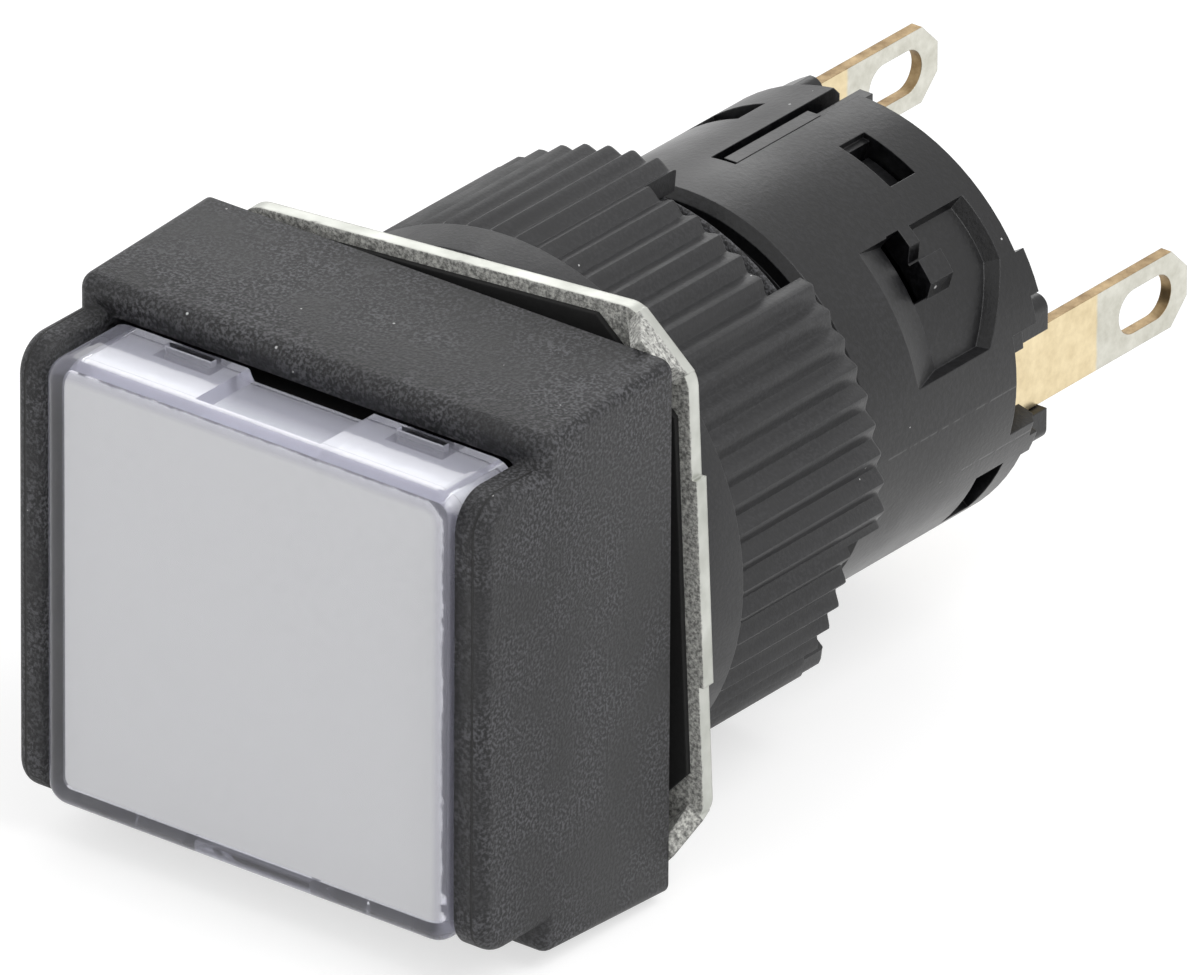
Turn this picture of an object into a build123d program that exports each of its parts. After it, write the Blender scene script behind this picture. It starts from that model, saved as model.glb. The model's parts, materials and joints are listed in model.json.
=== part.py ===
from build123d import *
import os

# Illuminated pushbutton switch for a 16 mm panel hole, in millimetres.
# The origin is on the axis, in the rear face of the square head, where the panel lies.
# +Y runs from the panel towards the terminals, +Z is up, and the button faces -Y.
os.makedirs("parts", exist_ok=True)

# Square head and its two guard wings
head_side = 18.0
head_front_height = 17.35
head_depth = 6.05
head_floor = 1.4
head_long_edge_radius = 0.4
head_front_edge_radius = 0.5
wing_reach = 3.0
wing_wall = 1.1
wing_height = 15.34
wing_corner_radius = 1.2
wing_edge_radius = 0.45
pocket_height = 15.36
pocket_corner_radius = 0.5

# Threaded barrel behind the head
barrel_radius = 8.0
barrel_length = 10.3
barrel_wall = 1.1
barrel_end_chamfer = 0.1
barrel_groove_front = 8.9
barrel_groove_rear = 10.0
barrel_groove_depth = 0.6
key_groove_width = 2.1
key_groove_depth = 0.7

# Button travel and its stop
press_travel = 3.0
stop_lug_width = 2.2
stop_lug_length = 1.0
stop_lug_reach = 0.35
stop_slot_front = 1.2
stop_slot_clearance = 0.15
stop_gap = 0.05

# Clear lens, with finger recesses and snap slots at its top and bottom
lens_width = 15.6
lens_height = 15.1
lens_proud = 3.3
lens_wall = 0.6
lens_front_wall = 0.75
lens_corner_radius = 0.8
lens_front_edge_radius = 0.7
lens_rear_inset = 0.05
recess_width = 4.8
recess_depth = 0.37
recess_front_inset = 0.78
recess_side_angle = 30.0
snap_slot_width = 1.8
snap_slot_length = 0.24
snap_slot_spacing = 8.9
snap_slot_inset = 0.24

# White marking plate and diffuser behind the lens
insert_clearance = 0.05
marking_plate_thickness = 0.5
diffuser_wall = 0.7
diffuser_front_wall = 0.6
diffuser_notch_width = 2.2
diffuser_notch_length = 0.7

# Lens holder, which slides in the head and the barrel
holder_plate_width = 15.2
holder_plate_height = 14.0
holder_plate_corner = 1.0
holder_rim_length = 1.35
holder_rim_wall = 0.7
hook_width = 1.6
hook_length = 0.18
hook_reach = 0.45
hook_arm_length = 0.55
stem_outer_radius = 6.6
stem_inner_radius = 5.3
stem_rear = 2.6

# Round contact block behind the barrel
neck_front = 7.0
neck_radius = 6.75
neck_wall = 0.85
neck_groove_front = 10.5
neck_groove_radius = 6.4
block_radius = 7.15
block_front = 12.0
block_rear = 21.0
block_wall = 0.85
block_edge_chamfer = 0.3
rim_lands = ((19.5, 31.0), (-26.0, -19.5))
rim_land_front = 20.5
rim_land_rear = 21.1
web_front = 12.6
web_thickness = 0.8
bayonet_angle = 45.0
bayonet_half_width = 12.0
bayonet_front = 7.65
bayonet_length = 1.0
bayonet_reach = 0.5
bayonet_turn = 30.0
bayonet_play = 1.0
bayonet_clearance = 0.1

# Lamp and its socket on the axis
lamp_radius = 2.9
lamp_front = -3.6
lamp_dome_height = 2.4
lamp_top_radius = 1.1
lamp_shoulder_radius = 2.1
lamp_flange_radius = 3.55
lamp_flange_thickness = 0.7
lamp_tail_radius = 2.4
lamp_tail_length = 2.0
socket_front = 3.0
socket_radius = 4.1
socket_bore_radius = 3.1

# Contact slider, pushed by the lens holder and returned by a coil spring
slider_gap = 0.05
slider_flange_radius = 6.5
slider_flange_thickness = 0.95
slider_outer_radius = 5.65
slider_inner_radius = 5.05
slider_shoulder_radius = 4.4
slider_length = 6.35
cam_leg_half_angle = 19.0
cam_leg_rear = 15.05
cam_leg_clearance_angle = 2.5
spring_radius = 4.58
spring_wire_radius = 0.22
spring_turns = 5
spring_end_gap = 0.03

# Changeover contact blade, which swings between two fixed contacts
blade_thickness = 0.25
blade_width = 2.2
blade_outer_x = -4.7
blade_rest_height = 0.25
blade_pivot_y = 17.65
blade_front_y = 13.9
blade_tab_length = 0.6
blade_tab_reach = 5.9
blade_swing = 0.8
blade_pin_radius = 0.35
blade_pin_clearance = 0.06
rivet_radius = 0.6
rivet_shank_radius = 0.3
rivet_height = 0.3
rivet_x = -3.4
rivet_y = 14.9
rivet_gap = 0.03
cam_slot_clearance = 0.25

# Flat terminals, all with their faces across X
terminal_thickness = 0.4
terminal_width = 2.6
terminal_tip_y = 30.0
terminal_tip_chamfer = 0.8
terminal_root_y = 21.05
terminal_arm_width = 1.5
terminal_hole_front = 26.55
terminal_hole_rear = 29.2
terminal_hole_width = 1.5
arm_front_y = 14.0

contact_foot_width = 1.8
contact_foot_length = 1.8
cradle_front = 17.1
cradle_half_height = 0.75
lamp_pad_radius = 0.5
lamp_pad_gap = 0.03

# Right-hand face and middle height of each terminal, and the middle height of its inner arm
lamp_plus_root_y = 20.3
lamp_plus_x = 5.7
lamp_plus_z = -1.05
lamp_minus_x = -0.8
lamp_minus_z = -4.7
lamp_minus_pad_z = -1.9
open_contact_x = -4.03
open_contact_z = -3.1
open_arm_z = -3.15
closed_contact_x = -4.03
closed_contact_z = 3.64
closed_arm_z = 3.15
common_x = -5.55
common_z = -0.5
common_arm_z = 0.0

# Moulded base that closes the rear of the block and holds the terminals
base_depth = 2.5
base_clearance = 0.08
base_boss_length = 1.5
base_boss_wall = 1.0
base_boss_height = 4.9
base_boss_corner = 0.4
base_boss_radius = 6.9
terminal_slot_clearance = 0.05
key_slot_x = -0.43
key_slot_width = 0.95
key_slot_front = 14.6
key_rib_x = -0.3
key_rib_width = 0.5
key_rib_front = 14.8
key_rib_sink = 0.05
key_rib_step = 18.95
key_rib_drop = 0.27
key_rib_rear = 21.55

# Moulded windows (start and end angle, front and rear station) and the recessed latch
snap_windows = (
    (60.5, 75.5, 17.8, 19.05),
    (108.5, 125.0, 17.7, 19.05),
    (-44.0, -27.0, 18.4, 19.75),
    (-153.0, -136.0, 18.4, 19.75),
)
window_ledge_angle = 2.0
window_ledge_depth = 0.2
snap_lug_reach = 0.25
snap_lug_margin = 1.5
side_notch_front = 19.5
side_notch_start = -14.9
side_notch_end = 12.5

# Latch recess in the side of the block: its direction, depth, ramp and outline (station, distance along the
# wall), and the hook, strip and slot in it (start and end angle, front and rear station)
latch_direction = 31.0
latch_depth = 0.45
latch_wall_angle = 30.0
latch_outline_radius = 6.85
latch_ramp_rear = 16.2
latch_outline = (
    (14.8, 2.33),
    (20.0, 2.33),
    (19.8, 0.12),
    (18.4, -2.29),
    (14.8, -2.29),
)
latch_lands = (
    (30.5, 41.0, 16.8, 17.9),
    (41.0, 50.0, 16.8, 17.3),
)
latch_hook_lean = 3.4
latch_slot = (31.7, 50.0, 16.2, 16.8)

# Anti-rotation ring, which lies skewed on the barrel within its key's play
ring_web = 0.85
ring_thickness = 0.52
ring_hole_clearance = 0.3
ring_corner_cut = 2.3
ring_foot_corner_cut = 1.94
ring_corner_radius = 0.9
ring_rear = 1.26
ring_tilt = 0.055
ring_turn = 2.6
ring_shift = 0.15
ring_key_width = 1.3
ring_key_depth = 0.5
ring_tab_reach = 0.17
ring_tab_top = 3.9
ring_tab_bottom = -3.0
ring_foot_root_width = 2.4
ring_foot_tip_width = 0.8
ring_foot_lean = 0.5
ring_foot_gap = 0.05
gasket_inset = 0.42
gasket_thickness = 0.2

# Round locking nut with fluted grip
nut_front = 2.1
nut_rear = 10.65
nut_wall = 1.0
nut_front_drop = 0.15
nut_collar_length = 1.5
nut_thread_clearance = 0.05
flute_count = 60
flute_depth = 0.35
flute_mouth = 0.42
flute_floor = 0.28
flute_phase = 1.8
wrench_slot_length = 1.7
wrench_slot_half_angle = 17.5
wrench_slot_phase = 67.0

# How far a cut or a joined block reaches past a face, and where a cut in a tube starts inside its bore
past = 1.0
inside = 0.9
spring_wire_sides = 4
same_place = 0.01

# Stations and spaces worked out from the sizes above
head_front = -head_depth
wing_front = head_front - wing_reach
pocket_width = head_side - 2 * wing_wall
bore_radius = barrel_radius - barrel_wall
lens_front = head_front - lens_proud
lens_rear = head_front + lens_rear_inset
marking_plate_front = lens_front + lens_front_wall + insert_clearance / 2
marking_plate_rear = marking_plate_front + marking_plate_thickness
diffuser_front = marking_plate_rear + insert_clearance / 2
insert_width = lens_width - 2 * lens_wall - 2 * insert_clearance
insert_height = lens_height - 2 * lens_wall - 2 * insert_clearance
snap_slot_y = lens_rear - snap_slot_inset
holder_plate_front = lens_rear + insert_clearance
holder_plate_rear = -head_floor - press_travel
web_rear = web_front + web_thickness
neck_bore_radius = neck_radius - neck_wall
block_bore_radius = block_radius - block_wall
slider_front = stem_rear + slider_gap
slider_rear = slider_front + slider_length
spring_front = slider_front + slider_flange_thickness + spring_end_gap
spring_rear = web_front - spring_end_gap
base_radius = block_bore_radius - base_clearance
base_front = block_rear - base_depth
cross_plate_rear = base_front
barrel_groove_radius = barrel_radius - barrel_groove_depth
ring_hole_radius = barrel_radius + ring_hole_clearance
ring_side = 2 * (ring_hole_radius + ring_web)
ring_key_inner_radius = barrel_radius - ring_key_depth
nut_radius = barrel_radius + nut_wall
nut_front_radius = nut_radius - nut_front_drop


def across(y):
    """Plane across the axis at station y, with its normal towards the button."""
    return Plane.XZ.offset(-y)


def sector(inner, outer, start, end, lean=0):
    """Face between two radii and two angles, whose first side leans by some degrees on its way out."""
    with BuildLine() as edge:
        low = CenterArc((0, 0), inner, start, end - start)
        high = CenterArc((0, 0), outer, start + lean, end - start - lean)
        Line(low @ 0, high @ 0)
        Line(low @ 1, high @ 1)
    return make_face(edge.edges())


# Bezel housing: guard wings, square head, barrel and the spaces inside them
with BuildPart() as bezel_housing:
    with BuildSketch(Plane.YZ.offset(pocket_width / 2)) as wing_side:
        with Locations(((wing_front + head_front / 2) / 2, 0)):
            Rectangle(head_front / 2 - wing_front, wing_height)
        fillet(wing_side.vertices().group_by(Axis.X)[0], wing_corner_radius)
    extrude(amount=wing_wall)
    outline = bezel_housing.faces().sort_by(Axis.X)[-1].edges()
    fillet(outline.sort_by(Axis.Y)[:-1], wing_edge_radius)
    mirror(about=Plane.YZ)

    with BuildSketch(Plane.YZ) as head_profile:
        with BuildLine():
            Polyline(
                (0, head_side / 2),
                (head_front, head_front_height / 2),
                (head_front, -head_front_height / 2),
                (0, -head_side / 2),
                close=True,
            )
        make_face()
        fillet(head_profile.vertices().group_by(Axis.X)[0], head_front_edge_radius)
    extrude(amount=head_side / 2, both=True)
    side_edges = bezel_housing.edges().filter_by(
        lambda e: abs(abs(e.center().X) - head_side / 2) < same_place
        and abs(e.center().Z) > wing_height / 2 + wing_edge_radius
        and e.center().Y > head_front + same_place
        and e.center().Y < -same_place
    )
    fillet(side_edges, head_long_edge_radius)

    with BuildSketch(across(-head_floor)):
        RectangleRounded(pocket_width, pocket_height, pocket_corner_radius)
    extrude(amount=wing_reach + head_depth, mode=Mode.SUBTRACT)

    with BuildSketch(across(barrel_length)):
        Circle(barrel_radius)
    extrude(amount=barrel_length)
    chamfer(bezel_housing.edges().group_by(Axis.Y)[-1], barrel_end_chamfer)
    with BuildSketch(across(barrel_length)):
        Circle(bore_radius)
    extrude(amount=barrel_length + head_floor, mode=Mode.SUBTRACT)

    with BuildSketch(across(barrel_groove_rear)):
        Circle(barrel_radius + past)
        Circle(barrel_groove_radius, mode=Mode.SUBTRACT)
    extrude(amount=barrel_groove_rear - barrel_groove_front, mode=Mode.SUBTRACT)

    with BuildSketch(across(barrel_length)):
        with Locations((0, -barrel_radius)):
            Rectangle(key_groove_width, 2 * key_groove_depth)
    extrude(amount=barrel_length, mode=Mode.SUBTRACT)

    with BuildSketch(across(barrel_length)):
        Rectangle(
            2 * (stem_outer_radius + stop_lug_reach + 2 * stop_slot_clearance),
            stop_lug_width + 2 * stop_slot_clearance,
        )
    extrude(amount=barrel_length - stop_slot_front, mode=Mode.SUBTRACT)

    bayonet_slot_radius = neck_radius + bayonet_reach + bayonet_clearance
    bayonet_slot_half = bayonet_half_width + bayonet_play
    for side in (0, 180):
        mouth = bayonet_angle + side - bayonet_turn
        with BuildSketch(across(barrel_length)):
            sector(
                inside * bore_radius,
                bayonet_slot_radius,
                mouth - bayonet_slot_half,
                mouth + bayonet_slot_half,
            )
        extrude(amount=barrel_length - bayonet_front + bayonet_clearance, mode=Mode.SUBTRACT)
        with BuildSketch(across(bayonet_front + bayonet_length + bayonet_clearance)):
            sector(
                inside * bore_radius,
                bayonet_slot_radius,
                mouth,
                mouth + bayonet_turn + bayonet_slot_half,
            )
        extrude(amount=bayonet_length + 2 * bayonet_clearance, mode=Mode.SUBTRACT)

# Anti-rotation ring: a square of spring steel with a key and two corner feet
ring_plane = Plane(
    origin=(-ring_shift, ring_rear, ring_shift),
    x_dir=Vector(1, ring_tilt, 0).rotate(Axis((0, 0, 0), (ring_tilt, -1, 0)), ring_turn),
    z_dir=(ring_tilt, -1, 0),
)
foot_root = (ring_side - ring_foot_corner_cut) / 2 ** 0.5
foot_rise = ring_rear + ring_tilt * foot_root / 2 ** 0.5 - ring_foot_gap
with BuildPart() as ring_foot:
    with BuildSketch(Plane.XZ):
        with BuildLine():
            Polyline(
                (foot_root - 2 * ring_thickness, 0),
                (foot_root, 0),
                (foot_root + ring_foot_lean, foot_rise),
                (foot_root + ring_foot_lean - ring_thickness, foot_rise),
                (foot_root - ring_thickness, ring_thickness),
                (foot_root - 2 * ring_thickness, ring_thickness),
                close=True,
            )
        make_face()
    extrude(amount=ring_foot_root_width / 2, both=True)
    with BuildSketch(Plane.YZ):
        with BuildLine():
            Polyline(
                (-ring_foot_root_width / 2, 0),
                (ring_foot_root_width / 2, 0),
                (ring_foot_root_width / 2, ring_thickness),
                (ring_foot_tip_width / 2, foot_rise),
                (-ring_foot_tip_width / 2, foot_rise),
                (-ring_foot_root_width / 2, ring_thickness),
                close=True,
            )
        make_face()
    extrude(amount=2 * foot_root, mode=Mode.INTERSECT)

with BuildPart() as anti_rotation_ring:
    with BuildSketch(ring_plane) as ring_outline:
        Rectangle(ring_side, ring_side)
        with Locations((ring_side / 2, (ring_tab_top + ring_tab_bottom) / 2)):
            Rectangle(2 * ring_tab_reach, ring_tab_top - ring_tab_bottom)
        corners = ring_outline.vertices().filter_by(
            lambda v: abs(abs(v.Y) - ring_side / 2) < same_place
        )
        chamfer(corners.filter_by(lambda v: v.X < 0), ring_corner_cut)
        chamfer(corners.filter_by(lambda v: v.X > 0), ring_foot_corner_cut)
        cut_ends = ring_outline.vertices().filter_by(
            lambda v: abs(v.Y) > ring_side / 2 - max(ring_corner_cut, ring_foot_corner_cut) - same_place
        )
        fillet(cut_ends, ring_corner_radius)
        Circle(ring_hole_radius, mode=Mode.SUBTRACT)
    extrude(amount=ring_thickness)
    key_root = ring_hole_radius + ring_thickness / 2
    with BuildSketch(ring_plane):
        with Locations((0, -(key_root + ring_key_inner_radius) / 2)):
            Rectangle(ring_key_width, key_root - ring_key_inner_radius)
    extrude(amount=ring_thickness)
    for turn in (45, -45):
        with Locations(ring_plane.location * Location((0, 0, 0), (0, 0, turn))):
            add(ring_foot.part)

# Panel gasket: a thin square of black rubber against the front of the ring
gasket_side = ring_side - 2 * gasket_inset
with BuildPart() as panel_gasket:
    with BuildSketch(ring_plane.offset(ring_thickness)) as gasket_outline:
        Rectangle(gasket_side, gasket_side)
        corners = gasket_outline.vertices()
        chamfer(corners.filter_by(lambda v: v.X < 0), ring_corner_cut)
        chamfer(corners.filter_by(lambda v: v.X > 0), ring_foot_corner_cut + 2 * gasket_inset)
        Circle(ring_hole_radius, mode=Mode.SUBTRACT)
    extrude(amount=gasket_thickness)

# Locking nut: a plain collar, a fluted grip and four slots for a ring wrench
nut_bore_radius = barrel_radius + nut_thread_clearance
with BuildPart() as locking_nut:
    with BuildSketch(Plane.XY):
        with BuildLine():
            Polyline(
                (nut_bore_radius, nut_front),
                (nut_front_radius, nut_front),
                (nut_radius, nut_front + nut_collar_length),
                (nut_radius, nut_rear),
                (nut_bore_radius, nut_rear),
                close=True,
            )
        make_face()
    revolve(axis=Axis.Y)
    with BuildSketch(across(nut_rear)):
        with PolarLocations(nut_radius, flute_count, start_angle=flute_phase):
            Polygon(
                (flute_depth, flute_floor / 2 - flute_mouth),
                (-flute_depth, -flute_floor / 2),
                (-flute_depth, flute_floor / 2),
                (flute_depth, flute_mouth - flute_floor / 2),
                align=None,
            )
    extrude(amount=nut_rear - nut_front - nut_collar_length, mode=Mode.SUBTRACT)
    for quarter in range(4):
        middle = wrench_slot_phase + 90 * quarter
        with BuildSketch(across(nut_rear)):
            sector(
                inside * nut_bore_radius,
                nut_radius + past,
                middle - wrench_slot_half_angle,
                middle + wrench_slot_half_angle,
            )
        extrude(amount=wrench_slot_length, mode=Mode.SUBTRACT)

# Lens: a clear square cap
with BuildPart() as lens:
    with BuildSketch(across(lens_rear)):
        RectangleRounded(lens_width, lens_height, lens_corner_radius)
    extrude(amount=lens_rear - lens_front)
    fillet(lens.edges().group_by(Axis.Y)[0], lens_front_edge_radius)
    with BuildSketch(across(lens_rear)):
        RectangleRounded(lens_width - 2 * lens_wall, lens_height - 2 * lens_wall, lens_wall / 2)
    extrude(amount=lens_rear - lens_front - lens_front_wall, mode=Mode.SUBTRACT)
    recess_front = lens_front + recess_front_inset
    for side in (1, -1):
        with BuildSketch(Plane.XY.offset(side * lens_height / 2)):
            with Locations((0, (recess_front + lens_rear + past) / 2)):
                Rectangle(recess_width, lens_rear + past - recess_front)
        extrude(amount=-side * recess_depth, taper=recess_side_angle, mode=Mode.SUBTRACT)
    with BuildSketch(Plane.XY):
        with Locations((0, snap_slot_y)):
            with GridLocations(snap_slot_spacing, 0, 2, 1):
                Rectangle(snap_slot_width, snap_slot_length)
    extrude(amount=lens_height, both=True, mode=Mode.SUBTRACT)

# Marking plate: the white plate seen through the lens
with BuildPart() as marking_plate:
    with BuildSketch(across(marking_plate_rear)):
        RectangleRounded(insert_width, insert_height, lens_wall / 2)
    extrude(amount=marking_plate_thickness)

# Diffuser: a milky cap that spreads the lamp's light
with BuildPart() as diffuser:
    with BuildSketch(across(lens_rear)):
        RectangleRounded(insert_width, insert_height, lens_wall / 2)
    extrude(amount=lens_rear - diffuser_front)
    with BuildSketch(across(lens_rear)):
        Rectangle(insert_width - 2 * diffuser_wall, insert_height - 2 * diffuser_wall)
    extrude(amount=lens_rear - diffuser_front - diffuser_front_wall, mode=Mode.SUBTRACT)
    with BuildSketch(across(lens_rear)):
        with GridLocations(snap_slot_spacing, 0, 2, 1):
            Rectangle(diffuser_notch_width, insert_height + past)
    extrude(amount=diffuser_notch_length, mode=Mode.SUBTRACT)

# Lens holder: plate, rim with four snap hooks, and the stem that runs in the barrel
rim_width = insert_width - 2 * diffuser_wall - 2 * insert_clearance
rim_height = insert_height - 2 * diffuser_wall - 2 * insert_clearance
with BuildPart() as lens_holder:
    with BuildSketch(across(holder_plate_rear)):
        RectangleRounded(holder_plate_width, holder_plate_height, holder_plate_corner)
    extrude(amount=holder_plate_rear - holder_plate_front)
    with BuildSketch(across(holder_plate_front)):
        Rectangle(rim_width, rim_height)
        Rectangle(rim_width - 2 * holder_rim_wall, rim_height - 2 * holder_rim_wall, mode=Mode.SUBTRACT)
    extrude(amount=holder_rim_length)
    arm_height = lens_height - 2 * lens_wall - 2 * insert_clearance
    with BuildSketch(across(holder_plate_front)):
        with GridLocations(snap_slot_spacing, 0, 2, 1):
            Rectangle(hook_width, arm_height)
        Rectangle(rim_width, rim_height - 2 * holder_rim_wall, mode=Mode.SUBTRACT)
    extrude(amount=hook_arm_length)
    with BuildSketch(across(snap_slot_y + hook_length / 2)):
        with GridLocations(snap_slot_spacing, 0, 2, 1):
            Rectangle(hook_width, arm_height + 2 * hook_reach)
        Rectangle(rim_width, rim_height - 2 * holder_rim_wall, mode=Mode.SUBTRACT)
    extrude(amount=hook_length)
    with BuildSketch(across(stem_rear)):
        Circle(stem_outer_radius)
    extrude(amount=stem_rear - holder_plate_rear)
    with BuildSketch(across(stop_slot_front + stop_gap + stop_lug_length)):
        Rectangle(2 * (stem_outer_radius + stop_lug_reach), stop_lug_width)
    extrude(amount=stop_lug_length)
    with BuildSketch(across(stem_rear)):
        Circle(stem_inner_radius)
    extrude(amount=stem_rear - holder_plate_front, mode=Mode.SUBTRACT)

# Contact slider: a tube round the lamp socket with one cam leg
slot_rear_y = blade_front_y + blade_tab_length + cam_slot_clearance
slot_front_y = blade_front_y - press_travel - cam_slot_clearance
slot_half_height = blade_thickness / 2 + cam_slot_clearance
with BuildPart() as contact_slider:
    with BuildSketch(across(slider_front + slider_flange_thickness)):
        Circle(slider_flange_radius)
        Circle(slider_shoulder_radius, mode=Mode.SUBTRACT)
    extrude(amount=slider_flange_thickness)
    with BuildSketch(across(slider_rear)):
        Circle(slider_outer_radius)
        Circle(slider_inner_radius, mode=Mode.SUBTRACT)
    extrude(amount=slider_length - slider_flange_thickness)
    with BuildSketch(across(cam_leg_rear)):
        sector(
            slider_inner_radius,
            slider_outer_radius,
            180 - cam_leg_half_angle,
            180 + cam_leg_half_angle,
        )
    extrude(amount=cam_leg_rear - slider_rear)
    with BuildSketch(Plane.YZ):
        with BuildLine():
            Polyline(
                (slot_rear_y, blade_rest_height + slot_half_height),
                (blade_front_y - cam_slot_clearance, blade_rest_height + slot_half_height),
                (slot_front_y, blade_rest_height - blade_swing + slot_half_height),
                (slot_front_y, blade_rest_height - blade_swing - slot_half_height),
                (slot_front_y + blade_tab_length, blade_rest_height - blade_swing - slot_half_height),
                (slot_rear_y, blade_rest_height - slot_half_height),
                close=True,
            )
        make_face()
    extrude(amount=-slider_flange_radius, mode=Mode.SUBTRACT)

# Return spring between the slider's shoulder and the web of the block
spring_pitch = (spring_rear - spring_front - 2 * spring_wire_radius) / spring_turns
with BuildPart() as return_spring:
    with BuildLine() as coil:
        Helix(
            pitch=spring_pitch,
            height=spring_pitch * spring_turns,
            radius=spring_radius,
            center=(0, spring_front + spring_wire_radius, 0),
            direction=(0, 1, 0),
        )
    with BuildSketch(Plane(origin=coil.line @ 0, z_dir=coil.line % 0)):
        RegularPolygon(spring_wire_radius, spring_wire_sides)
    sweep(path=coil.line, is_frenet=True)

# Latch recess: the space cut into the side of the block round its hook and strip
latch_plane = Plane(origin=(0, 0, 0), x_dir=(0, 1, 0), z_dir=Vector(1, 0, 0).rotate(Axis.Y, -latch_direction))
latch_floor = block_radius - latch_depth
with BuildPart() as latch_recess:
    with BuildSketch(latch_plane.offset(latch_outline_radius)) as latch_mouth:
        with BuildLine():
            Polyline(*latch_outline, close=True)
        make_face()
    extrude(amount=past, taper=-latch_wall_angle)
    extrude(latch_mouth.sketch, amount=-past, taper=latch_wall_angle)
    with BuildSketch(Plane.XY):
        with BuildLine():
            Polyline(
                (block_radius, latch_outline[0][0]),
                (latch_floor, latch_ramp_rear),
                (latch_floor, block_rear),
                (block_radius + 2 * past, block_rear),
                (block_radius + 2 * past, latch_outline[0][0]),
                close=True,
            )
        make_face()
    revolve(axis=Axis.Y, mode=Mode.INTERSECT)
    for start, end, front, rear in latch_lands:
        with BuildSketch(across(rear)):
            sector(
                latch_floor - latch_depth,
                block_radius + latch_depth,
                start - latch_hook_lean,
                end,
                lean=3 * latch_hook_lean,
            )
        extrude(amount=rear - front, mode=Mode.SUBTRACT)
    start, end, front, rear = latch_slot
    with BuildSketch(across(rear)):
        sector(inside * block_bore_radius, block_radius + past, start, end)
    extrude(amount=rear - front)

# Contact block case: neck, socket tube, web and the windowed rear shell
with BuildPart() as contact_block_case:
    with BuildSketch(across(block_rear)):
        Circle(block_radius)
    extrude(amount=block_rear - block_front)
    chamfer(contact_block_case.edges().group_by(Axis.Y)[0], block_edge_chamfer)
    chamfer(contact_block_case.edges().group_by(Axis.Y)[-1], block_edge_chamfer)
    with BuildSketch(across(block_front)):
        Circle(neck_radius)
    extrude(amount=block_front - neck_front)
    with BuildSketch(across(block_front)):
        Circle(neck_radius + past)
        Circle(neck_groove_radius, mode=Mode.SUBTRACT)
    extrude(amount=block_front - neck_groove_front, mode=Mode.SUBTRACT)
    with BuildSketch(across(rim_land_rear)):
        for start, end in rim_lands:
            sector(inside * block_radius, block_radius, start, end)
    extrude(amount=rim_land_rear - rim_land_front)
    with BuildSketch(across(block_rear)):
        Circle(block_bore_radius)
    extrude(amount=block_rear - web_rear, mode=Mode.SUBTRACT)
    with BuildSketch(across(web_front)):
        Circle(neck_bore_radius)
    extrude(amount=web_front - neck_front, mode=Mode.SUBTRACT)
    with BuildSketch(across(web_front)):
        Circle(socket_radius)
    extrude(amount=web_front - socket_front)
    with BuildSketch(across(web_front)):
        Circle(socket_bore_radius)
    extrude(amount=web_front - socket_front, mode=Mode.SUBTRACT)
    with BuildSketch(across(web_rear)):
        Circle(lamp_tail_radius)
    extrude(amount=web_thickness, mode=Mode.SUBTRACT)
    leg_window = cam_leg_half_angle + cam_leg_clearance_angle
    with BuildSketch(across(web_rear)):
        sector(
            slider_inner_radius - stop_slot_clearance,
            neck_bore_radius,
            180 - leg_window,
            180 + leg_window,
        )
    extrude(amount=web_thickness, mode=Mode.SUBTRACT)
    for side in (0, 180):
        middle = bayonet_angle + side
        with BuildSketch(across(bayonet_front + bayonet_length)):
            sector(
                neck_bore_radius + neck_wall / 2,
                neck_radius + bayonet_reach,
                middle - bayonet_half_width,
                middle + bayonet_half_width,
            )
        extrude(amount=bayonet_length)
    with BuildSketch(across(block_rear)):
        with Locations((key_slot_x, block_radius)):
            Rectangle(key_slot_width, 2 * block_wall + block_edge_chamfer)
    extrude(amount=block_rear - key_slot_front, mode=Mode.SUBTRACT)
    for start, end, front, rear in snap_windows:
        with BuildSketch(across(rear)):
            sector(inside * block_bore_radius, block_radius + past, start, end)
        extrude(amount=rear - front, mode=Mode.SUBTRACT)
        with BuildSketch(across(rear)):
            sector(block_radius - window_ledge_depth, block_radius + past, end, end + window_ledge_angle)
        extrude(amount=rear - front, mode=Mode.SUBTRACT)
    with BuildSketch(across(block_rear)):
        sector(inside * block_bore_radius, block_radius + past, side_notch_start, side_notch_end)
    extrude(amount=block_rear - side_notch_front, mode=Mode.SUBTRACT)
    add(latch_recess.part, mode=Mode.SUBTRACT)

# LED lamp: one sealed capsule with a dome and a seating flange
lamp_rear = web_front
with BuildPart() as led_lamp:
    with BuildSketch(Plane.XY):
        with BuildLine():
            Polyline(
                (0, lamp_front),
                (lamp_top_radius, lamp_front),
                (lamp_shoulder_radius, lamp_front + lamp_dome_height / 4),
                (lamp_radius, lamp_front + lamp_dome_height),
                (lamp_radius, socket_front - lamp_flange_thickness),
                (lamp_flange_radius, socket_front - lamp_flange_thickness),
                (lamp_flange_radius, socket_front),
                (lamp_radius, socket_front),
                (lamp_radius, lamp_rear - lamp_tail_length),
                (lamp_tail_radius, lamp_rear - lamp_tail_length),
                (lamp_tail_radius, lamp_rear),
                (0, lamp_rear),
                close=True,
            )
        make_face()
    revolve(axis=Axis.Y)

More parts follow.
